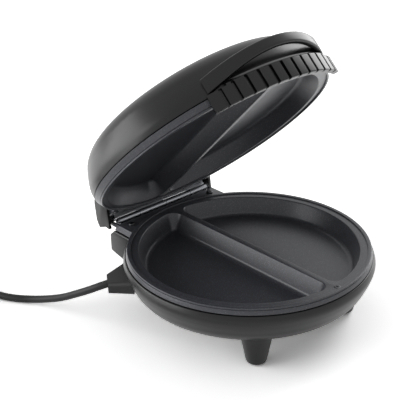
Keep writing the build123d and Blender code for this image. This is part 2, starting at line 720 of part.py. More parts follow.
# -------------------------------------------------------- upper plate, screws
with BuildPart() as upper_cooking_plate:
    with BuildSketch(Plane.XY.offset(lip_z)):
        with Locations((0, lid_centre_y)):
            Circle(lip_radius)
    extrude(amount=upper_skirt, taper=-math.degrees(math.atan(upper_flare / upper_skirt)))
    with Locations((0, flange_front, upper_flange_z)):
        Box(2 * upper_flange_half, chord_y - flange_front, upper_skirt_z - upper_flange_z,
            align=(Align.CENTER, Align.MIN, Align.MIN))
    with BuildSketch(Plane.XY.offset(upper_land_z + casting)):
        with Locations((0, lid_centre_y)):
            Circle(lip_radius - lip_width)
    extrude(amount=upper_skirt, mode=Mode.SUBTRACT)
    add(half_round(cavity_wall, ridge_half - casting, cavity_corner + casting, cavity_centre_y,
                   upper_land_z + 0.5,
                   cavity_depth + casting - 0.5, cavity_draft))
    with PolarLocations(post_ring, 4, start_angle=45):
        with Locations((0, 0, upper_land_z + 1)):
            Cylinder(post_radius, shield_z - upper_land_z - 1, align=upward)
    with Locations((0, -upper_front_y, upper_land_z + 1)):
        Cylinder(boss_radius, upper_land_z + 1 - upper_stop_z, align=downward)
    with Locations((0, -upper_front_y, upper_land_z)):
        Cylinder(boss_radius, upper_boss_top - upper_land_z, align=upward)
    with Locations((0, lid_centre_y, lip_z)):
        Cylinder(lip_radius - lip_width, land_recess, align=upward, mode=Mode.SUBTRACT)
    with Locations((0, -upper_front_y, upper_land_z + 1)):
        Cylinder(boss_radius, upper_land_z + 1 - upper_stop_z, align=downward)
    add(half_round(cavity_radius, ridge_half, cavity_corner, cavity_centre_y, upper_land_z, cavity_depth,
                   cavity_draft), mode=Mode.SUBTRACT)
    with Locations((0, chord_y, lip_z)):
        Box(200, 40, 60, align=(Align.CENTER, Align.MIN, Align.CENTER), mode=Mode.SUBTRACT)
    with Locations([(*place, lip_z) for place in upper_screws] + [(0, -upper_front_y, lip_z - 2)]):
        Cylinder(screw_radius, 30, align=upward, mode=Mode.SUBTRACT)
save(upper_cooking_plate.part, "upper_cooking_plate", on_lid=True)
lid_screws = screws(upper_screws, upper_flange_z, 1) + screws([(0, -upper_front_y)], upper_stop_z, 1)
save(lid_screws, "upper_plate_screws", on_lid=True)

with BuildPart() as upper_heating_element:
    add(ring_tube(upper_element_ring, element_radius, upper_element_z, cavity_centre_y, element_gap_angle))
    for side in (-1, 1):
        end_x = side * upper_element_ring * math.sin(math.radians(element_gap_angle / 2))
        end_y = cavity_centre_y + upper_element_ring * math.cos(math.radians(element_gap_angle / 2)) - 2
        with BuildSketch(Plane((end_x, end_y, upper_element_z), (1, 0, 0), (0, 1, 0))):
            Circle(cold_pin_radius)
        extrude(amount=cold_pin_length)
save(upper_heating_element.part, "upper_heating_element", on_lid=True)

with BuildPart() as upper_heat_reflector:
    with Locations((0, 0, shield_z)):
        Cylinder(shield_radius, shield_thickness, align=upward)
save(upper_heat_reflector.part, "upper_heat_reflector", on_lid=True)

# --------------------------------------------------------------- lid shell
with BuildPart() as lid_housing:
    with BuildSketch(Plane.YZ):
        Polygon(*lid_housing_side, align=None)
    extrude(amount=housing_half, both=True)
    fillet(lid_housing.edges().filter_by(Axis.X).group_by(Axis.Z)[-3], housing_corner)

with BuildPart() as lid_form:
    add(turned(dome, lid_centre_y, lid_z))
    add(lid_housing.part)

with BuildPart() as lid_room:
    with BuildSketch(Plane.YZ):
        Polygon(*lid_housing_side, align=None)
        offset(amount=-wall, kind=Kind.INTERSECTION)
        with Locations((lid_housing_front, hinge_z - 20)):
            room_depth = hinge_y + lid_housing_shape[3][0] - wall - lid_housing_front
            Rectangle(room_depth, 22 + lid_housing_shape[3][1], align=(Align.MIN, Align.MIN))
            Rectangle(hinge_y - lid_housing_front, lid_z - hinge_z + 30, align=(Align.MIN, Align.MIN))
    extrude(amount=housing_half - wall, both=True)

with BuildPart() as lid_shell:
    add(lid_form.part)
    add(turned(inset(dome, -wall), lid_centre_y, lid_z - 1), mode=Mode.SUBTRACT)
    add(lid_room.part, mode=Mode.SUBTRACT)
    with Locations([(*place, upper_leaf_z) for place in upper_screws] + [(0, -upper_front_y, upper_boss_top)]):
        Cylinder(boss_radius, 60, align=upward)
    with Locations([(*place, upper_leaf_z) for place in upper_screws] + [(0, -upper_front_y, upper_boss_top)]):
        Cylinder(screw_radius, screw_bore, align=upward, mode=Mode.SUBTRACT)
    add(lid_form.part, mode=Mode.INTERSECT)

# ---------------------------------------------------------- grip and handle
lid_axis = Axis((0, lid_centre_y, 0), (0, 0, 1))
with BuildPart() as handle_screws:
    for turn, height in ((270 - band_screw_turn, band_screw_z), (270 + band_screw_turn, band_screw_z),
                         (270 - grip_screw_turn, grip_screw_z), (270 + grip_screw_turn, grip_screw_z)):
        along = (math.cos(math.radians(turn)), math.sin(math.radians(turn)), 0)
        for start, radius, length in ((handle_screw_seat - screw_head_height, screw_head_radius - 0.5, screw_head_height),
                                      (handle_screw_seat, screw_radius, handle_screw_length)):
            with BuildSketch(Plane((start * along[0], lid_centre_y + start * along[1], height), (0, 0, 1), along)):
                Circle(radius)
            extrude(amount=length)
save(handle_screws.part, "handle_screws", on_lid=True)

band_root_radius = dome_radius + band_root_reach
band_root_x = band_root_radius * math.sin(math.radians(band_half_angle))
band_root_y = lid_centre_y - band_root_radius * math.cos(math.radians(band_half_angle))
band_front_y = lid_centre_y - dome_radius - band_reach
band_low_z = lid_z + band_low_root
band_high_z = lid_z + band_top_middle
with BuildPart() as handle_band:
    with BuildSketch(Plane.XY.offset(band_low_z - 5)):
        with BuildLine():
            ThreePointArc((-band_root_x, band_root_y), (0, band_front_y), (band_root_x, band_root_y))
            Line((band_root_x, band_root_y), (band_root_x - band_thickness, band_root_y + 6))
            ThreePointArc((band_root_x - band_thickness, band_root_y + 6), (0, band_front_y + band_thickness),
                          (band_thickness - band_root_x, band_root_y + 6))
            Line((band_thickness - band_root_x, band_root_y + 6), (-band_root_x, band_root_y))
        make_face()
    extrude(amount=band_high_z - band_low_z + 10)
    with BuildSketch(Plane.XZ.offset(-band_root_y - 30)):
        with BuildLine():
            ThreePointArc((-band_root_x - 1, band_low_z), (0, band_high_z - band_height),
                          (band_root_x + 1, band_low_z))
            Line((band_root_x + 1, band_low_z), (band_root_x + 1, lid_z + band_top_root))
            ThreePointArc((band_root_x + 1, lid_z + band_top_root), (0, band_high_z),
                          (-band_root_x - 1, lid_z + band_top_root))
            Line((-band_root_x - 1, lid_z + band_top_root), (-band_root_x - 1, band_low_z))
        make_face()
    extrude(amount=80, both=True, mode=Mode.INTERSECT)
    add(lid_form.part, mode=Mode.SUBTRACT)
    add(handle_screws.part, mode=Mode.SUBTRACT)
save(handle_band.part, "handle_band", on_lid=True)

with BuildPart() as ribbed_grip:
    with BuildSketch(upright(lid_centre_y, 270 - grip_half_angle)):
        with BuildLine():
            Polyline((grip_inner, grip_bottom), (grip_outer, grip_bottom), (grip_outer, grip_top - grip_crown),
                     (grip_outer - grip_crown, grip_top), (dome_radius - wall, grip_top), (dome_radius - wall, lid_z),
                     (grip_inner, lid_z), close=True)
        make_face()
    revolve(axis=lid_axis, revolution_arc=2 * grip_half_angle)
    fillet(ribbed_grip.edges().group_by(Axis.Z)[0].sort_by(SortBy.LENGTH)[-1:], 1.2)
    for count in range(grip_grooves):
        turn = 270 + (count - (grip_grooves - 1) / 2) * grip_pitch
        toward = math.radians(turn)
        with BuildSketch(Plane((0, lid_centre_y, grip_bottom - 1), (math.cos(toward), math.sin(toward), 0),
                               (0, 0, 1))):
            with Locations((grip_outer + 2, 0)):
                Rectangle(2 * (grip_groove_depth + 2), grip_groove)
        extrude(amount=grip_top - grip_crown - grip_bottom + 1, mode=Mode.SUBTRACT)
    add(lid_form.part, mode=Mode.SUBTRACT)
    add(handle_screws.part, mode=Mode.SUBTRACT)
    for start in (270 - grip_half_angle - 1, 270 + band_seat_turn):
        with BuildSketch(upright(lid_centre_y, start)):
            with Locations((grip_outer, lid_z + band_low_root - fit)):
                Rectangle(20, 20, align=(Align.CENTER, Align.MIN))
        revolve(axis=lid_axis, revolution_arc=grip_half_angle + 1 - band_seat_turn, mode=Mode.SUBTRACT)
save(ribbed_grip.part, "ribbed_grip", on_lid=True)

# -------------------------------------------------------- lights on the lid
with BuildPart() as lenses:
    with Locations([(side * lens_x, lens_y, lens_z) for side in (-1, 1)]):
        Cylinder(lens_radius, lens_cap, align=upward)
    fillet(lenses.edges().group_by(Axis.Z)[-1], 1)
    with Locations([(side * lens_x, lens_y, lens_z) for side in (-1, 1)]):
        Cylinder(lens_radius - 1, wall + 1, align=downward)
power_light_lens, ready_light_lens = lenses.part.solids().sort_by(Axis.X)
save(power_light_lens, "power_light_lens", on_lid=True)
save(ready_light_lens, "ready_light_lens", on_lid=True)

with BuildPart() as indicator_lamps:
    with Locations([(side * lens_x, lens_y, lens_z - wall - 1) for side in (-1, 1)]):
        Cylinder(lamp_radius, lamp_length, align=downward)
save(indicator_lamps.part, "indicator_lamps", on_lid=True)

with BuildPart() as finished_lid_shell:
    add(lid_shell.part)
    add(handle_screws.part, mode=Mode.SUBTRACT)
    add(lenses.part, mode=Mode.SUBTRACT)
save(finished_lid_shell.part, "lid_shell", on_lid=True)
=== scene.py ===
"""Dressed model of a round two-portion omelette maker, standing open on a pale table.

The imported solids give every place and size. This file adds the surfaces that
show, their finishes, the mains cord, the stage, the lamps and the camera.
Lengths are millimetres until a mesh is made, and metres inside Blender.
"""

import json
import logging
import math
from dataclasses import dataclass
from enum import Enum
from typing import Any, Dict, List, Optional, Sequence, Tuple

import bmesh
import bpy
import numpy as np
from mathutils import Matrix

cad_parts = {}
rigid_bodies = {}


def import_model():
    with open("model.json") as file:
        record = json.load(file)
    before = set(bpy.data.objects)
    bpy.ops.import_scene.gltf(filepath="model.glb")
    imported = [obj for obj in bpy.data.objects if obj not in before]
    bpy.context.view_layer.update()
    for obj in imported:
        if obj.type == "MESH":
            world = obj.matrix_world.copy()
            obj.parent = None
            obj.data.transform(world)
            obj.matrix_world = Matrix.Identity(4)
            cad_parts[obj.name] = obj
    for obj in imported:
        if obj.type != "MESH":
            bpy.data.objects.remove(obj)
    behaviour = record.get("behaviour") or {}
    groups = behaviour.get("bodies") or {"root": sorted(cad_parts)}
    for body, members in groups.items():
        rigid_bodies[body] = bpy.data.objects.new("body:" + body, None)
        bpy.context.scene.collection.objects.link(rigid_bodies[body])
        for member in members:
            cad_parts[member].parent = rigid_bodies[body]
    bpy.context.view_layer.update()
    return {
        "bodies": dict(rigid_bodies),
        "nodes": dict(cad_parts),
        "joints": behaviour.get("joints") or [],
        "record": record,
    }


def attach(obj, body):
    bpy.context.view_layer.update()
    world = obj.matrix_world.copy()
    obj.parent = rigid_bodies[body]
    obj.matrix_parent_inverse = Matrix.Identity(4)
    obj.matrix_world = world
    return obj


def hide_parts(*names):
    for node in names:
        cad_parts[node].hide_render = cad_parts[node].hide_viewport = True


LOG = logging.getLogger("omelette_maker")
MM = 0.001              # one millimetre in Blender's metres
LEAST_CORNER = 0.02     # mm: a corner that counts as sharp
Array = np.ndarray
Points = Tuple[Tuple[float, float], ...]


# ---- colour and nodes
def linear(hex_colour: str) -> Tuple[float, float, float, float]:
    """Turn an sRGB hex colour into linear values.

    Args:
        hex_colour: six hex digits, such as "#1b1b1d".

    Returns:
        Linear red, green, blue and an alpha of 1.
    """
    digits = hex_colour.lstrip("#")
    coded = np.array([int(digits[i:i + 2], 16) for i in (0, 2, 4)]) / 255.0
    straight = np.where(coded <= 0.04045, coded / 12.92, ((coded + 0.055) / 1.055) ** 2.4)
    return (*[float(v) for v in straight], 1.0)


def add_node(tree: bpy.types.NodeTree, kind: str, settings: Optional[Dict[str, Any]] = None,
             links: Optional[Dict[str, Any]] = None) -> bpy.types.Node:
    """Add a shader node with its settings, input values and incoming links.

    Args:
        tree: the node tree that gets the node.
        kind: the node's Blender type name.
        settings: properties, or input values where a key names an input.
        links: input name to the output socket that feeds it.

    Returns:
        The new node.
    """
    node = tree.nodes.new(kind)
    for key, value in (settings or {}).items():
        if hasattr(node, key):
            setattr(node, key, value)
        else:
            node.inputs[key].default_value = value
    for key, socket in (links or {}).items():
        tree.links.new(socket, node.inputs[key])
    return node


def blank_material(name: str) -> Tuple[bpy.types.Material, bpy.types.NodeTree, bpy.types.Node]:
    """Make an empty node material with only its output node.

    Args:
        name: the material's name.

    Returns:
        The material, its node tree and its output node.
    """
    material = bpy.data.materials.new(name)
    material.use_nodes = True
    material.node_tree.nodes.clear()
    output = add_node(material.node_tree, "ShaderNodeOutputMaterial")
    return material, material.node_tree, output


def seen_rays(tree: bpy.types.NodeTree) -> bpy.types.NodeSocket:
    """Tell rays that see, mirror or look through from rays that only light.

    Args:
        tree: the node tree that gets the nodes.

    Returns:
        A socket that is 1 for the former and 0 for the latter.
    """
    path = add_node(tree, "ShaderNodeLightPath")
    seen = path.outputs["Is Camera Ray"]
    for kind in ("Is Glossy Ray", "Is Transmission Ray"):
        either = add_node(tree, "ShaderNodeMath", {"operation": "MAXIMUM"})
        tree.links.new(seen, either.inputs[0])
        tree.links.new(path.outputs[kind], either.inputs[1])
        seen = either.outputs["Value"]
    return seen


# ---- finishes
@dataclass(frozen=True)
class MouldedPlastic:
    """Injection-moulded ABS or polypropylene: one colour through, fine mould grain, a soft broad gloss."""

    name: str
    colour: str
    roughness: float
    grain_mm: float = 0.9
    grain_depth_mm: float = 0.015
    cloud: float = 0.04    # change of the roughness from place to place
    ior: float = 1.4       # a little under the resin's own, as the grain scatters part of the gloss

    def material(self) -> bpy.types.Material:
        """Build the material: grain as bump, and a faint cloudiness in the roughness.

        Returns:
            The material.
        """
        material, tree, output = blank_material(self.name)
        place = add_node(tree, "ShaderNodeTexCoord")
        grain = add_node(tree, "ShaderNodeTexNoise", {"Scale": 1000.0 / self.grain_mm, "Detail": 2.0},
                         {"Vector": place.outputs["Object"]})
        cloud = add_node(tree, "ShaderNodeTexNoise", {"Scale": 22.0, "Detail": 3.0},
                         {"Vector": place.outputs["Object"]})
        spread = add_node(tree, "ShaderNodeMapRange",
                          {"To Min": self.roughness - self.cloud, "To Max": self.roughness + self.cloud},
                          {"Value": cloud.outputs["Fac"]})
        bump = add_node(tree, "ShaderNodeBump", {"Distance": self.grain_depth_mm * MM, "Strength": 0.6},
                        {"Height": grain.outputs["Fac"]})
        shader = add_node(tree, "ShaderNodeBsdfPrincipled",
                          {"Base Color": linear(self.colour), "IOR": self.ior},
                          {"Roughness": spread.outputs["Result"], "Normal": bump.outputs["Normal"]})
        tree.links.new(shader.outputs["BSDF"], output.inputs["Surface"])
        return material


@dataclass(frozen=True)
class NonStickCoating:
    """Sprayed PTFE on cast aluminium: dark blue grey, waxy, with fine pale mica flecks and orange peel."""

    name: str
    colour: str
    fleck: str
    roughness: float
    fleck_mm: float = 1.1
    peel_mm: float = 2.2

    def material(self) -> bpy.types.Material:
        """Build the material: flecks by a thresholded fine noise, peel as a shallow bump.

        Returns:
            The material.
        """
        material, tree, output = blank_material(self.name)
        place = add_node(tree, "ShaderNodeTexCoord")
        specks = add_node(tree, "ShaderNodeTexVoronoi", {"Scale": 1000.0 / self.fleck_mm},
                          {"Vector": place.outputs["Object"]})
        mask = add_node(tree, "ShaderNodeMapRange",
                        {"From Min": 0.16, "From Max": 0.3, "To Min": 0.55, "To Max": 0.0},
                        {"Value": specks.outputs["Distance"]})
        mottle = add_node(tree, "ShaderNodeTexNoise", {"Scale": 1000.0 / 7.0, "Detail": 4.0},
                          {"Vector": place.outputs["Object"]})
        amount = add_node(tree, "ShaderNodeMath", {"operation": "MULTIPLY"})
        tree.links.new(mask.outputs["Result"], amount.inputs[0])
        tree.links.new(mottle.outputs["Fac"], amount.inputs[1])
        colour = add_node(tree, "ShaderNodeMix", {"data_type": "RGBA"})
        colour.inputs[6].default_value = linear(self.colour)
        colour.inputs[7].default_value = linear(self.fleck)
        tree.links.new(amount.outputs["Value"], colour.inputs["Factor"])
        peel = add_node(tree, "ShaderNodeTexNoise", {"Scale": 1000.0 / self.peel_mm, "Detail": 2.0},
                        {"Vector": place.outputs["Object"]})
        bump = add_node(tree, "ShaderNodeBump", {"Distance": 0.03 * MM, "Strength": 0.5},
                        {"Height": peel.outputs["Fac"]})
        shader = add_node(tree, "ShaderNodeBsdfPrincipled",
                          {"IOR": 1.45, "Roughness": self.roughness, "Metallic": 0.15},
                          {"Base Color": colour.outputs[2], "Normal": bump.outputs["Normal"]})
        tree.links.new(shader.outputs["BSDF"], output.inputs["Surface"])
        return material


@dataclass(frozen=True)
class Metal:
    """Bare or plated metal: a coloured mirror blurred by how it was rolled, drawn or brushed."""

    name: str
    colour: str
    roughness: float
    streak_mm: float = 0.8

    def material(self) -> bpy.types.Material:
        """Build the material: long streaks along X vary the roughness.

        Returns:
            The material.
        """
        material, tree, output = blank_material(self.name)
        place = add_node(tree, "ShaderNodeTexCoord")
        along = add_node(tree, "ShaderNodeMapping", {"Scale": (0.05, 1.0, 1.0)},
                         {"Vector": place.outputs["Object"]})
        streak = add_node(tree, "ShaderNodeTexNoise", {"Scale": 1000.0 / self.streak_mm, "Detail": 3.0},
                          {"Vector": along.outputs["Vector"]})
        spread = add_node(tree, "ShaderNodeMapRange",
                          {"To Min": self.roughness * 0.75, "To Max": self.roughness * 1.3},
                          {"Value": streak.outputs["Fac"]})
        shader = add_node(tree, "ShaderNodeBsdfPrincipled",
                          {"Base Color": linear(self.colour), "Metallic": 1.0},
                          {"Roughness": spread.outputs["Result"]})
        tree.links.new(shader.outputs["BSDF"], output.inputs["Surface"])
        return material


class Finish(Enum):
    """The finishes of the appliance, each named for what the real surface is."""

    # polypropylene shells from a polished mould: near black, with a broad satin gloss
    SHELL = MouldedPlastic("satin_black_pp", "#0b0b0c", 0.30)
    # ABS handle and grip: a touch glossier, so that the ribs catch the light
    GRIP = MouldedPlastic("fine_grain_black_abs", "#0c0c0d", 0.28)
    # sprayed coating: a dull blue grey with pale mica flecks
    PLATE = NonStickCoating("nonstick_coating", "#434449", "#a3a5ab", 0.33)
    # rolled and nickel-plated strip: grey, with blurred streaks along the barrel
    HINGE = Metal("plated_steel", "#97999d", 0.34)
    # black-oxide screws: dark, but still metal
    SCREW = Metal("blackened_steel", "#4a4b4d", 0.34)
    # heat-tinted tube and switch cases: dull warm grey
    SHEATH = Metal("heater_sheath_steel", "#5d5853", 0.5)
    # plain rolled sheet: bright and only faintly streaked
    FOIL = Metal("bright_aluminium_sheet", "#d8d9da", 0.22)
    # plated plug pins: pale yellow grey
    BRASS = Metal("nickel_plated_brass", "#b9ab8a", 0.25)
    # extruded PVC: dull black with hardly any grain
    CORD = MouldedPlastic("pvc_cord_sheath", "#060606", 0.5, 1.4, 0.01, ior=1.38)
    # pressed rubber pads: matt dark grey
    PAD = MouldedPlastic("silicone_rubber", "#262626", 0.7, 0.7, 0.02)
    # braided sleeve on the leads: matt and off-white
    SLEEVE = MouldedPlastic("glass_fibre_sleeve", "#b9b2a2", 0.75, 0.5, 0.05)
    # pressed phenolic: pale, half matt
    TERMINAL = MouldedPlastic("phenolic_terminal", "#cfc9b8", 0.55)
    # clear-gloss moulded lenses and the small lamps behind them
    RED_LENS = MouldedPlastic("red_polycarbonate", "#8c1512", 0.12)
    GREEN_LENS = MouldedPlastic("green_polycarbonate", "#1d6b2a", 0.12)
    LAMP = MouldedPlastic("lamp_glass", "#caa98c", 0.1)


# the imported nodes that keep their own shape, by the finish they get
DRESSED: Dict[Finish, str] = {
    Finish.PAD: "foot_pads",
    Finish.SCREW: "lower_plate_screws upper_plate_screws handle_screws",
    Finish.SHEATH: "lower_heating_element upper_heating_element thermostat thermal_fuse",
    Finish.FOIL: "lower_heat_reflector upper_heat_reflector",
    Finish.TERMINAL: "terminal_block cord_clamp",
    Finish.SLEEVE: "internal_leads",
    Finish.CORD: "strain_relief plug_body",
    Finish.BRASS: "plug_pins",
    Finish.HINGE: "hinge_pin lower_hinge_leaf upper_hinge_leaf",
    Finish.RED_LENS: "power_light_lens",
    Finish.GREEN_LENS: "ready_light_lens",
    Finish.LAMP: "indicator_lamps",
}


# ---- surfaces
@dataclass(frozen=True)
class Swing:
    """The hinge line and the lid's rest angle, which every lid piece shares."""

    hinge_y: float = 120.0
    hinge_z: float = 65.2
    angle: float = 45.3

    def opened(self, points: Array) -> Array:
        """Turn closed-pose points about the hinge line to the rest pose: a plane rotation of Y and Z.

        Args:
            points: X, Y and Z in the last axis, in millimetres.

        Returns:
            The turned points.
        """
        turn = math.radians(self.angle)
        across, height = points[..., 1] - self.hinge_y, points[..., 2] - self.hinge_z
        y = self.hinge_y + across * math.cos(turn) + height * math.sin(turn)
        z = self.hinge_z - across * math.sin(turn) + height * math.cos(turn)
        return np.stack([points[..., 0], y, z], -1)


SWING = Swing()


def arc(centre: Tuple[float, float], radius: float, start: float, end: float, steps: int = 7) -> Array:
    """Points on a circle's arc between two angles in degrees: centre + radius * (cos a, sin a)."""
    angle = np.radians(np.linspace(start, end, steps))
    return np.stack([centre[0] + radius * np.cos(angle), centre[1] + radius * np.sin(angle)], 1)


def softened(corners: Sequence[Sequence[float]], radii: Sequence[float], steps: int = 6) -> Array:
    """A closed polygon with each corner replaced by a quadratic curve.

    Each corner P between cuts A and B becomes (1-t)^2 A + 2t(1-t) P + t^2 B, where the
    cuts lie at the given distance from the corner along its two sides.

    Args:
        corners: the polygon's corners in order.
        radii: distance of the cuts from each corner.
        steps: points on each curve.

    Returns:
        Points in order round the outline, shape (corners * steps, 2).
    """
    place = np.array(corners, float)
    reach = np.array(radii, float)[:, None]
    before, after = np.roll(place, 1, 0) - place, np.roll(place, -1, 0) - place
    first = place + before / np.linalg.norm(before, axis=1, keepdims=True) * reach
    last = place + after / np.linalg.norm(after, axis=1, keepdims=True) * reach
    t = np.linspace(0.0, 1.0, steps)[None, :, None]
    curve = (1 - t) ** 2 * first[:, None] + 2 * t * (1 - t) * place[:, None] + t ** 2 * last[:, None]
    return curve.reshape(-1, 2)


def flowing(points: Sequence[Sequence[float]], steps: int = 8) -> Array:
    """A smooth line through points, by Catmull-Rom cubics.

    The slope at a point is half the step between its neighbours.

    Args:
        points: the points in order.
        steps: points on each cubic.

    Returns:
        Points along the line, ending in the last given point.
    """
    place = np.array(points, float)
    ends = np.concatenate([2 * place[:1] - place[1:2], place, 2 * place[-1:] - place[-2:-1]])
    p0, p1, p2, p3 = (ends[i:len(ends) - 3 + i, None] for i in range(4))
    t = np.linspace(0.0, 1.0, steps, endpoint=False)[None, :, None]
    body = 0.5 * (2 * p1 + (p2 - p0) * t + (2 * p0 - 5 * p1 + 4 * p2 - p3) * t ** 2
                  + (3 * p1 - p0 - 3 * p2 + p3) * t ** 3)
    return np.concatenate([body.reshape(-1, place.shape[1]), place[-1:]])


def turned(profile: Array, centre: Tuple[float, float] = (0.0, 0.0), columns: int = 192) -> Array:
    """A profile carried round a vertical line: (cx + r cos t, cy + r sin t, z).

    Args:
        profile: pairs of radius and height.
        centre: the line's X and Y.
        columns: steps round the line.

    Returns:
        A grid of points, one row for each point of the profile.
    """
    turn = np.linspace(0.0, 2 * math.pi, columns, endpoint=False)[None, :]
    radius, height = profile[:, :1], profile[:, 1:]
    return np.stack([centre[0] + radius * np.cos(turn), centre[1] + radius * np.sin(turn),
                     height + 0 * turn], -1)


def half_round_loop(radius: float, gap: float, corner: float, centre_y: float, height: float) -> Array:
    """The outline of a half disc at X > 0 with rounded corners, always with the same number of points.

    The big arc has its centre on X = 0, the straight side lies at X = gap, and each corner
    is an arc whose centre lies corner away from both.

    Args:
        radius: the big arc's radius.
        gap: X of the straight side.
        corner: the corners' radius.
        centre_y: Y of the disc's centre.
        height: the loop's Z.

    Returns:
        Points round the outline.
    """
    corner = max(corner, LEAST_CORNER)
    bend_y = math.sqrt((radius - corner) ** 2 - (gap + corner) ** 2)
    lean = math.degrees(math.atan2(bend_y, gap + corner))
    outline = np.concatenate([
        arc((0.0, 0.0), radius, -lean, lean, 96),
        arc((gap + corner, bend_y), corner, lean, 180.0, 14)[1:],
        np.stack([np.full(30, gap), np.linspace(bend_y, -bend_y, 32)[1:-1]], 1),
        arc((gap + corner, -bend_y), corner, 180.0, 360.0 - lean, 14)[:-1]])
    return np.stack([outline[:, 0], outline[:, 1] + centre_y, np.full(len(outline), height)], 1)


def tongue_loop(half: float, rear: float, front: float, centre_y: float, height: float) -> Array:
    """A flange's outline from above: its front lies on a circle and its two rear corners are round.

    Args:
        half: half its width.
        rear: Y of its rear edge.
        front: the front circle's radius.
        centre_y: Y of the front circle's centre.
        height: the loop's Z.

    Returns:
        Points round the outline.
    """
    x = np.linspace(-half, half, 41)
    edge = np.stack([x, centre_y + np.sqrt(front ** 2 - x ** 2)], 1)
    outline = np.concatenate([edge, arc((half - 2.0, rear - 2.0), 2.0, 0.0, 90.0, 6),
                              arc((2.0 - half, rear - 2.0), 2.0, 90.0, 180.0, 6)])
    return np.column_stack([outline, np.full(len(outline), height)])


def capped(loops: Sequence[Array]) -> Array:
    """Close a stack of loops: the first and last shrink to their middles in four steps.

    Args:
        loops: loops of equal count.

    Returns:
        A grid of points with a pole at each end.
    """
    rows = list(loops)
    for place in (0, -1):
        loop, middle = rows[place], rows[place].mean(0)
        cap = [middle + (loop - middle) * share for share in (0.75, 0.5, 0.25, 0.0)]
        rows = cap[::-1] + rows if place == 0 else rows + cap
    return np.stack(rows)


def rounded_end(radius: float, steps: int = 5) -> List[Tuple[float, float]]:
    """Inset and fall of a rounded edge: (r (1 - sin a), r (1 - cos a)) from the flat to the side."""
    return [(radius * (1 - math.sin(a)), radius * (1 - math.cos(a)))
            for a in np.linspace(0, math.pi / 2, steps)]


def face_quads(rows: int, columns: int, wrap: bool) -> Array:
    """Number the corners of a grid's four-sided faces.

    Args:
        rows: rows of points.
        columns: points in a row.
        wrap: whether the last column joins the first.

    Returns:
        One row of four corner numbers for each face.
    """
    i = np.arange(rows - 1)[:, None] * columns
    j = np.arange(columns if wrap else columns - 1)[None, :]
    k = (j + 1) % columns
    return np.stack([i + j, i + k, i + columns + k, i + columns + j], -1).reshape(-1, 4)


def closed_grid(points: Array) -> bmesh.types.BMesh:
    """Make a shape of a grid that wraps round its columns, welded at its seams and poles.

    Args:
        points: the grid of points in millimetres.

    Returns:
        The shape, facing outwards.
    """
    rows, columns = points.shape[:2]
    mesh = bpy.data.meshes.new("grid")
    mesh.from_pydata((points.reshape(-1, 3) * MM).tolist(), [], face_quads(rows, columns, True).tolist())
    return welded(mesh)


def stacked(loops: Sequence[Array]) -> bmesh.types.BMesh:
    """Join loops one after the other, with a flat face at each end.

    Args:
        loops: loops of equal count.

    Returns:
        The shape, facing outwards.
    """
    count, rows = len(loops[0]), len(loops)
    ends = [list(range(count))[::-1], list(range((rows - 1) * count, rows * count))]
    mesh = bpy.data.meshes.new("stack")
    faces = face_quads(rows, count, True).tolist() + ends
    mesh.from_pydata((np.concatenate(loops) * MM).tolist(), [], faces)
    return welded(mesh)


def bar(outline: Array, x: Array, front: float = 0.0, centre_y: float = 0.0) -> bmesh.types.BMesh:
    """Carry an outline of Y and Z along X.

    With a front radius R the bar stays behind a circle: y becomes max(y, centre_y + sqrt(R^2 - x^2)).

    Args:
        outline: pairs of Y and Z.
        x: places along X.
        front: the circle's radius, or 0 for none.
        centre_y: Y of the circle's centre.

    Returns:
        The shape, facing outwards.
    """
    limit = centre_y + np.sqrt(front ** 2 - x ** 2) if front else np.full(len(x), -1e9)
    return stacked([np.column_stack([np.full(len(outline), place), np.maximum(outline[:, 0], least),
                                     outline[:, 1]]) for place, least in zip(x, limit)])


def thickened(line: Array, wall: float) -> Array:
    """Close a line to an outline by the same line moved sideways, along its own normals.

    Args:
        line: points in a plane.
        wall: how far it is moved.

    Returns:
        Points round the outline.
    """
    run = np.gradient(line, axis=0)
    normal = np.stack([run[:, 1], -run[:, 0]], 1) / np.linalg.norm(run, axis=1, keepdims=True)
    return np.concatenate([line, (line - wall * normal)[::-1]])


def welded(mesh: bpy.types.Mesh) -> bmesh.types.BMesh:
    """Merge a mesh's doubles and turn its faces outwards.

    Args:
        mesh: the mesh, which is used up.

    Returns:
        The shape.
    """
    shape = bmesh.new()
    shape.from_mesh(mesh)
    bpy.data.meshes.remove(mesh)
    bmesh.ops.remove_doubles(shape, verts=shape.verts, dist=2e-6)
    bmesh.ops.recalc_face_normals(shape, faces=shape.faces)
    return shape


def eased(shape: bmesh.types.BMesh, width: float, joint_x: float = -1.0) -> bmesh.types.BMesh:
    """Round every edge that turns by more than 30 degrees, but none in the planes X = +-joint_x.

    Args:
        shape: the shape to change.
        width: the rounding's width in millimetres.
        joint_x: where the shape meets its neighbour.

    Returns:
        The same shape.
    """
    edges = [edge for edge in shape.edges if len(edge.link_faces) == 2
             and edge.calc_face_angle() > math.radians(30.0)
             and any(abs(abs(vert.co.x) - joint_x * MM) > 1e-5 for vert in edge.verts)]
    bmesh.ops.bevel(shape, geom=edges, offset=width * MM, segments=3, profile=0.5, affect="EDGES",
                    clamp_overlap=True)
    return shape


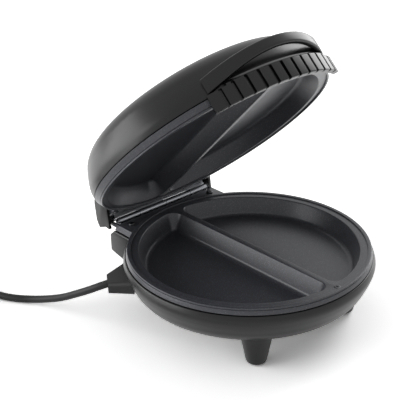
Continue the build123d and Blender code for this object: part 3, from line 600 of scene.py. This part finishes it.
def make_piece(name: str, shapes: Sequence[bmesh.types.BMesh], finish: "Finish", body: str,
               stands_for: Sequence[str] = (), crease: float = 40.0) -> bpy.types.Object:
    """Join closed shapes into one named piece that rides on a body.

    Args:
        name: the piece's name.
        shapes: closed shapes in the closed pose; lid pieces are swung open here.
        finish: the finish it gets.
        body: the moving body it rides on.
        stands_for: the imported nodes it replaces.
        crease: edges that turn by more than this many degrees stay sharp.

    Returns:
        The new object, at the origin.
    """
    whole = bmesh.new()
    for shape in shapes:
        part = bpy.data.meshes.new("part")
        shape.to_mesh(part)
        shape.free()
        whole.from_mesh(part)
        bpy.data.meshes.remove(part)
    mesh = bpy.data.meshes.new(name)
    whole.to_mesh(mesh)
    whole.free()
    if body == "lid":
        place = np.empty(len(mesh.vertices) * 3)
        mesh.vertices.foreach_get("co", place)
        mesh.vertices.foreach_set("co", (SWING.opened(place.reshape(-1, 3) / MM) * MM).ravel())
    mesh.shade_smooth()
    mesh.set_sharp_from_angle(angle=math.radians(crease))
    mesh.materials.append(FINISHES[finish])
    mesh.update()
    piece = bpy.data.objects.new(name, mesh)
    bpy.context.scene.collection.objects.link(piece)
    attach(piece, body)
    if stands_for:
        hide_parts(*stands_for)
    LOG.info("%s: %d faces on %s", name, len(mesh.polygons), body)
    return piece


# ---- cooking plates
@dataclass
class CookingPlate:
    """A cast plate with two half-round hollows, a raised rim and a hinge flange."""

    name: str
    body: str
    facing: float            # 1 where the hollows open upwards, -1 where they open downwards
    rim_z: float
    rim_radius: float
    rim_width: float
    rim_step: float
    skirt: float
    flare: float
    centre_y: float
    hollow_radius: float
    hollow_y: float
    hollow_depth: float
    draft: float
    corner: float
    ridge: float
    flange: Tuple[float, float, float, float]    # half width, radius of the front, rear, face height
    chord_y: float = 1000.0
    casting: float = 3.5
    floor_round: float = 5.0
    mouth_round: float = 1.1
    ear_reach: float = 0.0    # how far the ears reach behind the hinge line; 0 is no ears
    ear_wall: float = 2.5

    def level(self, depth: float) -> float:
        """The height that lies a depth into the plate, counted from the rim's edge."""
        return self.rim_z - self.facing * depth

    def rim(self) -> bmesh.types.BMesh:
        """The rim and skirt: a rounded bead turned about the plate's centre.

        Returns:
            The shape.
        """
        outer, inner = self.rim_radius, self.rim_radius - self.rim_width
        profile = softened(
            [(inner, self.rim_step + 1.6), (inner, 0.0), (outer, 0.0), (outer + 0.1, 1.2),
             (outer - 0.5, 1.45), (outer - 0.5, 1.75), (outer + 0.25, 2.0), (outer + self.flare, self.skirt),
             (outer + self.flare - self.casting, self.skirt), (inner + 0.4, self.rim_step + 2.4)],
            [0.3, 0.5, 0.6, 0.1, 0.1, 0.1, 0.2, 0.4, 0.4, 0.3], 5)
        grid = turned(np.stack([profile[:, 0], self.rim_z - self.facing * profile[:, 1]], 1),
                      (0.0, self.centre_y), 240)
        grid[..., 1] = np.minimum(grid[..., 1], self.chord_y)
        return closed_grid(np.concatenate([grid, grid[:1]]))

    def hollow_profile(self) -> List[Tuple[float, float]]:
        """Inset and depth from the land down one wall to the floor.

        The mouth is an arc from level to the drafted wall, and the foot is an arc from the
        wall to the level floor; between them the wall runs straight.

        Returns:
            Pairs of inset and depth below the land.
        """
        lean, mouth, foot = math.radians(self.draft), self.mouth_round, self.floor_round
        start = -mouth * math.tan((math.pi / 2 - lean) / 2)
        line = [(start + mouth * math.sin(a), mouth * (1 - math.cos(a)))
                for a in np.linspace(0, math.pi / 2 - lean, 6)]
        depth_w = self.hollow_depth - foot * (1 - math.sin(lean))
        middle = depth_w * math.tan(lean) + foot * math.cos(lean)
        return line + [(middle - foot * math.cos(a), self.hollow_depth - foot + foot * math.sin(a))
                       for a in np.linspace(lean, math.pi / 2, 8)]

    def half(self, side: float) -> bmesh.types.BMesh:
        """One half of the plate: land, hollow and the casting's back, as stacked half-round loops.

        Args:
            side: 1 for the half at +X, -1 for the half at -X.

        Returns:
            The shape.
        """
        edge = self.rim_radius - self.rim_width + 0.3
        land = self.rim_step
        loops = [half_round_loop(self.hollow_radius - inset, self.ridge + inset, self.corner - inset,
                                 self.hollow_y, self.level(land + depth))
                 for inset, depth in self.hollow_profile()]
        rim_loop, under_rim = (half_round_loop(edge, 0.0, LEAST_CORNER, self.centre_y, self.level(depth))
                               for depth in (land, land + self.casting))
        grown = self.casting
        back = [half_round_loop(self.hollow_radius + grown - inset, max(self.ridge - grown + inset, 0.0),
                                self.corner + grown - inset, self.hollow_y, self.level(land + grown + depth))
                for inset, depth in self.hollow_profile()[3:]]
        grid = capped(loops[::-1] + [rim_loop, under_rim] + back)
        grid[..., 0] *= side
        return closed_grid(grid)

    def hinge_flange(self) -> bmesh.types.BMesh:
        """The flat flange that carries the hinge: stacked loops with an eased edge, flared below.

        Returns:
            The shape.
        """
        half, front, rear, face = self.flange
        spread = 3.0 if self.facing > 0 else 0.0
        rows = [tongue_loop(half - inset, rear - inset, front, self.centre_y, face - self.facing * fall)
                for inset, fall in rounded_end(0.7)]
        rows.append(tongue_loop(half + spread, rear + spread / 3, front, self.centre_y,
                                self.level(self.skirt)))
        return stacked(rows)

    def ears(self) -> List[bmesh.types.BMesh]:
        """The two ears that reach back past the hinge barrel's ends, with eased edges.

        Returns:
            The two shapes.
        """
        half, _, rear, face = self.flange
        foot, tip = self.level(self.skirt), SWING.hinge_y + self.ear_reach
        outline = np.array([(rear - 3.0, foot), (tip - 3.0, foot), (tip, face - 2.0), (tip, face),
                            (rear - 3.0, face)])
        return [eased(bar(outline, side * np.array([half - self.ear_wall, half])), 0.5) for side in (-1, 1)]

    def build(self) -> bpy.types.Object:
        """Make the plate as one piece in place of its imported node."""
        shapes = [self.rim(), self.half(1.0), self.half(-1.0), self.hinge_flange()]
        shapes += self.ears() if self.ear_reach else []
        return make_piece(self.name + "_cast", shapes, Finish.PLATE, self.body,
                          (self.name,), 28.0)


# ---- shells
@dataclass
class BaseShell:
    """The moulded bowl with its rear housing and four feet."""

    top_z: float = 60.6
    wall: float = 2.5
    side: Points = ((112.3, 0.0), (113.75, 5.6), (112.2, 11.6), (109.6, 17.6), (106.8, 23.2), (102.4, 28.4),
                    (95.0, 32.0))    # radius, and depth below the top edge
    housing: Points = ((60.0, 32.8), (100.0, 33.5), (112.0, 36.0), (121.0, 38.0), (121.0, 55.0),
                       (114.6, 60.6), (60.0, 60.6))    # outline of Y and Z
    housing_half: float = 66.0
    housing_front: float = 104.0    # the housing stays behind a circle of this radius
    pocket_half: float = 58.5
    pocket_z: float = 57.3
    feet: Points = ((-57.0, -66.5), (57.0, -66.5), (-57.0, 73.0), (57.0, 73.0))
    foot_z: float = 0.8             # the pads carry the feet this far above the table
    foot_tip: float = 9.4
    foot_round: float = 4.2
    foot_top: Tuple[float, float] = (15.5, 36.0)    # radius and height where a foot meets the bowl

    def bowl(self) -> bmesh.types.BMesh:
        """The bowl: a smooth outer side, a flat bottom and an inner side a wall further in, turned.

        Returns:
            The shape.
        """
        outer = flowing([(r, self.top_z - d) for r, d in self.side], 8)
        edge, top = self.side[0][0], self.top_z
        rim = np.array([(edge - self.wall, top - 0.3), (edge - self.wall + 0.4, top), (edge - 0.6, top),
                        (edge - 0.15, top - 0.2)])
        deep = self.side[-1][1]
        inner = flowing([(r - self.wall, top - d + self.wall * d / deep) for r, d in self.side[::-1]], 6)
        floor = [(40.0, outer[-1, 1]), (0.0, outer[-1, 1])]
        inside = [(0.0, outer[-1, 1] + self.wall), (40.0, outer[-1, 1] + self.wall)]
        profile = np.concatenate([inside, inner[:-1], rim, outer[1:], floor])
        return closed_grid(turned(profile, columns=240))

    def foot(self, place: Tuple[float, float]) -> bmesh.types.BMesh:
        """A tapered foot with a rounded tip, turned about its own middle.

        Args:
            place: the middle's X and Y.

        Returns:
            The shape.
        """
        low = self.foot_z
        tip = arc((self.foot_tip - self.foot_round, low + self.foot_round), self.foot_round, -90.0, -8.0, 8)
        profile = np.concatenate([[(0.0, low), (3.0, low)], tip, [self.foot_top, (0.0, self.foot_top[1])]])
        return closed_grid(turned(profile, place, 56))

    def housing_bars(self) -> List[bmesh.types.BMesh]:
        """The rear housing: two cheeks, and between them a lower bar that leaves room for the hinge leaf.

        Returns:
            The three shapes.
        """
        outline = np.array(self.housing)
        low = np.column_stack([outline[:, 0], np.minimum(outline[:, 1], self.pocket_z)])
        bars = [bar(low, np.linspace(-self.pocket_half, self.pocket_half, 33), self.housing_front)]
        for side in (-1, 1):
            across = side * np.linspace(self.pocket_half, self.housing_half, 5)
            bars.append(bar(outline, across, self.housing_front))
        return [eased(shape, 1.6, self.pocket_half) for shape in bars]

    def build(self) -> bpy.types.Object:
        """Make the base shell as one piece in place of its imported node."""
        shapes = [self.bowl()] + self.housing_bars() + [self.foot(place) for place in self.feet]
        return make_piece("base_moulding", shapes, Finish.SHELL, "base", ("base_shell",), 40.0)


@dataclass
class LidShell:
    """The moulded dome with its rear housing."""

    lid_z: float = 77.6
    wall: float = 2.5
    centre_y: float = 2.5
    side: Points = ((118.5, 0.0), (118.65, 6.6), (116.9, 13.6), (114.2, 20.6), (110.6, 27.6), (104.6, 33.6),
                    (96.0, 37.8), (82.0, 40.6), (45.0, 42.1))    # radius, and height above the lower edge
    cheek: Points = ((98.0, 77.6), (112.1, 77.6), (124.2, 62.0), (125.8, 63.0), (128.0, 66.6), (137.9, 70.9),
                     (136.5, 78.1), (123.6, 94.3), (95.0, 104.0), (82.0, 104.8), (98.0, 92.0))    # Y and Z
    cheek_cuts: Tuple[float, ...] = (0.4, 0.4, 0.6, 0.6, 0.6, 0.6, 3.0, 5.0, 4.0, 0.4, 0.4)
    roof: Tuple[int, int] = (27, 46)    # first and last point of the roof on the softened cheek
    housing_half: float = 66.0
    room_half: float = 63.5

    def dome(self) -> bmesh.types.BMesh:
        """The dome: a smooth outer side up to a flat crown, and an inner side a wall further in, turned.

        Returns:
            The shape.
        """
        outer = flowing([(r, self.lid_z + h) for r, h in self.side], 8)
        crown = outer[-1, 1]
        brim, low = self.side[0][0], self.lid_z
        edge = [(brim - self.wall, low + 0.3), (brim - self.wall + 0.4, low), (brim - 0.6, low),
                (brim - 0.1, low + 0.25)]
        thin = 1 - self.wall / self.side[-1][1]
        inner = flowing([(r - self.wall, low + h * thin) for r, h in self.side[::-1]], 6)
        profile = np.concatenate([[(0.0, crown - self.wall)], inner[:-1], edge, outer[1:],
                                  [(20.0, crown + 0.02), (0.0, crown + 0.02)]])
        return closed_grid(turned(profile, (0.0, self.centre_y), 256))

    def housing_bars(self) -> List[bmesh.types.BMesh]:
        """The rear housing: two full cheeks with the roof and rear wall between them.

        Returns:
            The three shapes.
        """
        outline = softened(self.cheek, self.cheek_cuts, 5)
        roof = thickened(outline[self.roof[0]:self.roof[1]], self.wall)
        bars = [bar(roof, np.array([-self.room_half, self.room_half]))]
        for side in (-1, 1):
            bars.append(bar(outline, side * np.array([self.room_half, self.housing_half])))
        return [eased(shape, 1.2, self.room_half) for shape in bars]

    def build(self) -> bpy.types.Object:
        """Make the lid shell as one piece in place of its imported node."""
        shapes = [self.dome()] + self.housing_bars()
        return make_piece("lid_moulding", shapes, Finish.SHELL, "lid", ("lid_shell",), 40.0)


# ---- handle
@dataclass
class Handle:
    """The arched band that stands off the dome, and the ribbed grip under it."""

    lid_z: float = 77.6
    centre_y: float = 2.5
    dome_radius: float = 118.5
    half_angle: float = 34.0
    root_reach: float = 2.5
    reach: float = 12.5
    thickness: float = 5.5
    band_round: float = 1.9
    height: float = 9.5
    low_root: float = 0.9
    top_root: float = 15.4
    top_middle: float = 21.9
    grip_half_angle: float = 35.0
    grip_inner: float = 119.2
    grip_outer: float = 124.5
    grip_drop: float = 14.6
    grip_rise: float = 4.9
    crown: float = 3.0
    grooves: int = 12
    pitch: float = 5.4
    groove_width: float = 2.6
    groove_depth: float = 2.6
    seat_turn: float = 26.8

    def bow(self, across: Array, half: float, ends: float, middle: float) -> Array:
        """A circle's arc over X through two equal ends and a middle: middle + R - sqrt(R^2 - x^2), signed.

        Args:
            across: places along X.
            half: X of the ends.
            ends: the value at the ends.
            middle: the value at X = 0.

        Returns:
            The value at each place.
        """
        rise = middle - ends
        radius = (half ** 2 + rise ** 2) / (2 * abs(rise))
        return middle - math.copysign(1.0, rise) * (radius - np.sqrt(radius ** 2 - across ** 2))

    def band(self) -> bmesh.types.BMesh:
        """The band: a rounded section of four edges, each edge on its own arc over X.

        Returns:
            The shape.
        """
        root = self.dome_radius + self.root_reach
        half = root * math.sin(math.radians(self.half_angle))
        root_y = self.centre_y - root * math.cos(math.radians(self.half_angle))
        x = np.linspace(-half, half, 97)
        outer = self.bow(x, half, root_y, self.centre_y - self.dome_radius - self.reach)
        slope = np.gradient(outer, x)
        normal = np.stack([slope, -np.ones_like(slope)], 1) / np.sqrt(1 + slope ** 2)[:, None]
        low = self.bow(x, half + 1, self.lid_z + self.low_root, self.lid_z + self.top_middle - self.height)
        high = self.bow(x, half + 1, self.lid_z + self.top_root, self.lid_z + self.top_middle)
        tall = (high - low)[:, None]
        rounding = self.band_round
        square = np.array([(0.0, 0.0), (1.0, 0.0), (1.0, 1.0), (0.0, 1.0)])
        turn = np.concatenate([np.linspace(a, a + 90, 6) for a in (180, 270, 0, 90)])
        anchor = np.repeat(square, 6, 0)
        toward = np.where(anchor > 0.5, -1.0, 1.0)
        around = np.stack([np.cos(np.radians(turn)), np.sin(np.radians(turn))], 1)
        inset = (rounding * (toward + around))[None]
        depth = anchor[None, :, 0] * self.thickness + inset[..., 0]
        rise = low[:, None] + anchor[None, :, 1] * tall + inset[..., 1]
        px = x[:, None] - normal[:, :1] * depth
        py = outer[:, None] - normal[:, 1:] * depth
        grid = np.stack([px, py, rise], -1)
        return closed_grid(capped(list(grid)))

    def ribs(self) -> bmesh.types.BMesh:
        """The grip: a rounded section carried round the lid, its front pressed in by evenly spaced grooves.

        Returns:
            The shape.
        """
        angles = np.linspace(-self.grip_half_angle, self.grip_half_angle, 841)
        offset = (angles / self.pitch + (self.grooves - 1) / 2)
        nearest = np.clip(np.round(offset), 0, self.grooves - 1)
        away = np.abs(offset - nearest) * self.pitch * math.pi / 180 * self.grip_outer
        press = np.clip((self.groove_width / 2 + 0.25 - away) / 0.5, 0.0, 1.0)
        press = self.groove_depth * press ** 2 * (3 - 2 * press)
        low, top = self.lid_z - self.grip_drop, self.lid_z + self.grip_rise
        inner, outer, crown = self.grip_inner, self.grip_outer, self.crown
        back = self.dome_radius - 2.0
        profile = softened([(inner, low), (outer, low), (outer, top - crown), (outer - crown, top),
                            (back, top), (back, self.lid_z), (inner, self.lid_z)],
                           [0.3, 1.1, 1.0, 1.0, 0.3, 0.1, 0.1], 5)
        share = np.clip((top - crown - 0.3 - profile[:, 1]) / 0.6, 0.0, 1.0) * (profile[:, 0] > inner + 0.6)
        seat = np.abs(angles) > self.seat_turn
        radius = profile[None, :, 0] - press[:, None] * share[None, :]
        lowered = np.minimum(profile[None, :, 1], self.lid_z + 0.6)
        height = np.where(seat[:, None], lowered, profile[None, :, 1])
        turn = np.radians(270.0 + angles)[:, None]
        grid = np.stack([radius * np.cos(turn), self.centre_y + radius * np.sin(turn), height], -1)
        return closed_grid(capped(list(grid)))

    def build(self) -> None:
        """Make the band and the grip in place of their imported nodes."""
        make_piece("arched_band", [self.band()], Finish.GRIP, "lid", ("handle_band",), 45.0)
        make_piece("ribbed_moulding", [self.ribs()], Finish.GRIP, "lid", ("ribbed_grip",), 30.0)


# ---- mains cord
@dataclass
class MainsCord:
    """The mains cord: a sheathed flex from the shell to a coil that ends in a two-pin plug.

    Its line is a smooth spline of order 3. The route from the shell is a list of
    points; the coil's points are worked out on rings round the coil's centre.
    """

    diameter: float = 7.0
    route: Tuple[Tuple[float, float, float], ...] = (
        (-93.7, 58.8, 45.0), (-104.5, 65.0, 42.5), (-113.0, 73.5, 38.0), (-118.9, 83.2, 32.0),
        (-124.7, 97.9, 23.5), (-130.3, 113.4, 15.0), (-137.2, 132.2, 8.0), (-144.1, 147.9, 4.0),
        (-153.1, 159.9, 3.6), (-159.8, 172.0, 3.6), (-163.0, 185.5, 3.6), (-163.0, 204.0, 3.6))
    centre: Tuple[float, float] = (-206.5, 223.0)
    turn_table: Tuple[Tuple[float, float, float], ...] = (
        # angle in degrees, radius, height
        (0.0, 43.5, 3.6), (330.0, 43.5, 3.6), (392.0, 36.6, 3.6), (590.0, 36.6, 3.6),
        (660.0, 39.9, 9.9), (745.0, 40.6, 11.6), (795.0, 41.0, 15.4))
    step: float = 22.5
    plug_entry: Tuple[float, float, float] = (-195.76, 263.09, 15.4)
    plug_heading: Tuple[float, float, float] = (-0.990, 0.139, 0.0)
    length: float = 0.76    # metres of cord in all

    def coil_points(self) -> Array:
        """Points round the coil: angle by equal steps, radius and height read between the table's rows.

        Returns:
            The points, X, Y and Z.
        """
        table = np.array(self.turn_table)
        angle = np.arange(table[0, 0] + 10.0, table[-1, 0], self.step)
        pull = 0.75 + 0.25 * math.cos(math.radians(self.step))    # how far the spline cuts its corners
        radius = np.interp(angle, table[:, 0], table[:, 1]) / pull
        height = np.interp(angle, table[:, 0], table[:, 2])
        turn = np.radians(angle)
        return np.stack([self.centre[0] + radius * np.cos(turn), self.centre[1] + radius * np.sin(turn),
                         height], 1)

    def build(self) -> bpy.types.Object:
        """Returns:
            The cord's curve object.
        """
        entry, heading = np.array(self.plug_entry), np.array(self.plug_heading)
        last = [entry - 8.0 * heading, entry + 3.0 * heading]
        points = np.concatenate([np.array(self.route), self.coil_points(), last])
        curve = bpy.data.curves.new("mains_cord", "CURVE")
        curve.dimensions = "3D"
        spline = curve.splines.new("NURBS")
        spline.points.add(len(points) - 1)
        weighted = np.concatenate([points * MM, np.ones((len(points), 1))], 1)
        spline.points.foreach_set("co", weighted.ravel())
        spline.order_u = 3
        spline.use_endpoint_u = True
        spline.resolution_u = 8
        curve.bevel_depth = self.diameter / 2 * MM
        curve.bevel_resolution = 6
        curve.use_fill_caps = True
        cord = bpy.data.objects.new("mains_cord", curve)
        bpy.context.scene.collection.objects.link(cord)
        cord.data.materials.append(FINISHES[Finish.CORD])
        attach(cord, "base")
        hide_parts("cord", "cord_coil")
        LOG.info("mains_cord: %d points on base", len(points))
        return cord


FINISHES: Dict[Finish, bpy.types.Material] = {}
FRAME: Dict[str, Any] = {}


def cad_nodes() -> Dict[str, bpy.types.Object]:
    """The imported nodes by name."""
    return FRAME["nodes"]


# ---- stage and view
@dataclass
class Studio:
    """Pale sweep, soft lamps and the camera."""

    azimuth: float = -42.2232
    elevation: float = 26.1621
    roll: float = -0.9971
    distance: float = 822.62
    pan: Tuple[float, float] = (-36.759, 31.699)
    target: Tuple[float, float, float] = (0.0, 0.0, 67.0)
    lens: float = 78.867
    floor_white: float = 0.9     # the floor's colour where it lights the object
    floor_lift: float = 2.15     # and where it is seen or mirrored
    sky: float = 0.38    # how strongly the world lights; seen or mirrored it is 1

    def camera(self) -> bpy.types.Object:
        """Place the camera: it looks along minus Z of a frame turned by azimuth, elevation and roll.

        Returns:
            The camera.
        """
        a, e, r = (math.radians(v) for v in (self.azimuth, self.elevation, self.roll))
        back = np.array([math.sin(a) * math.cos(e), -math.cos(a) * math.cos(e), math.sin(e)])
        right = np.array([math.cos(a), math.sin(a), 0.0])
        up = np.cross(back, right)
        across = right * math.cos(r) + up * math.sin(r)
        upward = up * math.cos(r) - right * math.sin(r)
        place = np.array(self.target) + across * self.pan[0] + upward * self.pan[1] + back * self.distance
        data = bpy.data.cameras.new("view")
        data.lens = self.lens
        data.sensor_width = 36.0
        data.clip_start = 0.05
        data.clip_end = 30.0
        camera = bpy.data.objects.new("view", data)
        bpy.context.scene.collection.objects.link(camera)
        matrix = np.eye(4)
        matrix[:3, :3] = np.stack([across, upward, back], 1)
        matrix[:3, 3] = place * MM
        camera.matrix_world = Matrix(matrix.tolist())
        bpy.context.scene.camera = camera
        return camera

    def floor(self) -> bpy.types.Object:
        """Make the pale floor: whiter where it is seen or mirrored, so that only the shadow shows on it.

        Returns:
            The floor.
        """
        reach = 4.0
        mesh = bpy.data.meshes.new("floor")
        corners = [(-reach, -reach, 0), (reach, -reach, 0), (reach, reach, 0), (-reach, reach, 0)]
        mesh.from_pydata(corners, [], [(0, 1, 2, 3)])
        floor = bpy.data.objects.new("floor", mesh)
        bpy.context.scene.collection.objects.link(floor)
        material, tree, output = blank_material("white_sweep")
        seen = add_node(tree, "ShaderNodeMapRange", {"To Min": self.floor_white, "To Max": self.floor_lift},
                        {"Value": seen_rays(tree)})
        lit = add_node(tree, "ShaderNodeBsdfDiffuse", links={"Color": seen.outputs["Result"]})
        tree.links.new(lit.outputs["BSDF"], output.inputs["Surface"])
        mesh.materials.append(material)
        return floor

    def world(self) -> None:
        """White where it is seen or mirrored, and a softer sky where it lights."""
        world = bpy.data.worlds.new("studio_sky")
        world.use_nodes = True
        tree = world.node_tree
        tree.nodes.clear()
        strength = add_node(tree, "ShaderNodeMapRange", {"To Min": self.sky, "To Max": 1.0},
                            {"Value": seen_rays(tree)})
        sky = add_node(tree, "ShaderNodeBackground", {"Color": (1, 1, 1, 1)},
                       {"Strength": strength.outputs["Result"]})
        output = add_node(tree, "ShaderNodeOutputWorld")
        tree.links.new(sky.outputs["Background"], output.inputs["Surface"])
        bpy.context.scene.world = world

    def lamp(self, name: str, place: Sequence[float], aim: Sequence[float], size: Sequence[float],
             power: float) -> None:
        """Hang one rectangular soft lamp.

        Args:
            name: the lamp's name.
            place: where it hangs, in metres.
            aim: the point it faces, in metres.
            size: width and height in metres.
            power: watts.
        """
        data = bpy.data.lights.new(name, "AREA")
        data.shape = "RECTANGLE"
        data.size, data.size_y = size
        data.energy = power
        lamp = bpy.data.objects.new(name, data)
        bpy.context.scene.collection.objects.link(lamp)
        back = np.array(place, float) - np.array(aim, float)
        back /= np.linalg.norm(back)
        right = np.cross((0.0, 0.0, 1.0), back)
        right /= np.linalg.norm(right)
        matrix = np.eye(4)
        matrix[:3, :3] = np.stack([right, np.cross(back, right), back], 1)
        matrix[:3, 3] = place
        lamp.matrix_world = Matrix(matrix.tolist())

    def build(self) -> None:
        """Set the stage."""
        self.camera()
        self.floor()
        self.world()
        self.lamp("back_left", (-1.15, 0.85, 0.42), (0.0, 0.0, 0.12), (1.5, 0.8), 15.0)
        self.lamp("back_right", (1.2, 0.15, 0.6), (0.0, 0.0, 0.1), (0.7, 0.9), 7.0)
        bpy.context.scene.view_settings.view_transform = "Standard"


def main() -> None:
    """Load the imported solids, dress them and set the stage."""
    logging.basicConfig(level=logging.INFO)
    FRAME.update(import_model())
    for finish in Finish:
        FINISHES[finish] = finish.value.material()
        for name in DRESSED.get(finish, "").split():
            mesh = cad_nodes()[name].data
            mesh.materials.clear()
            mesh.materials.append(FINISHES[finish])
            LOG.info("%s: %s", name, finish.value.name)
    Studio().build()
    MainsCord().build()
    CookingPlate(name="lower_cooking_plate", body="base", facing=1.0, rim_z=67.0, rim_radius=110.0,
                 rim_width=3.6, rim_step=1.2, skirt=5.8, flare=1.2, centre_y=0.0, hollow_radius=99.5,
                 hollow_y=0.0, hollow_depth=17.5, draft=18.0, corner=10.0, ridge=3.1,
                 flange=(61.0, 108.0, 115.0, 65.0), ear_reach=6.8).build()
    CookingPlate(name="upper_cooking_plate", body="lid", facing=-1.0, rim_z=70.0, rim_radius=115.5,
                 rim_width=2.0, rim_step=1.5, skirt=7.0, flare=3.0, centre_y=2.5, hollow_radius=107.5,
                 hollow_y=5.0, hollow_depth=17.0, draft=24.0, corner=12.0, ridge=2.8,
                 flange=(63.0, 114.0, 119.4, 73.0), chord_y=119.4).build()
    BaseShell().build()
    LidShell().build()
    Handle().build()


if __name__ == "__main__":
    main()
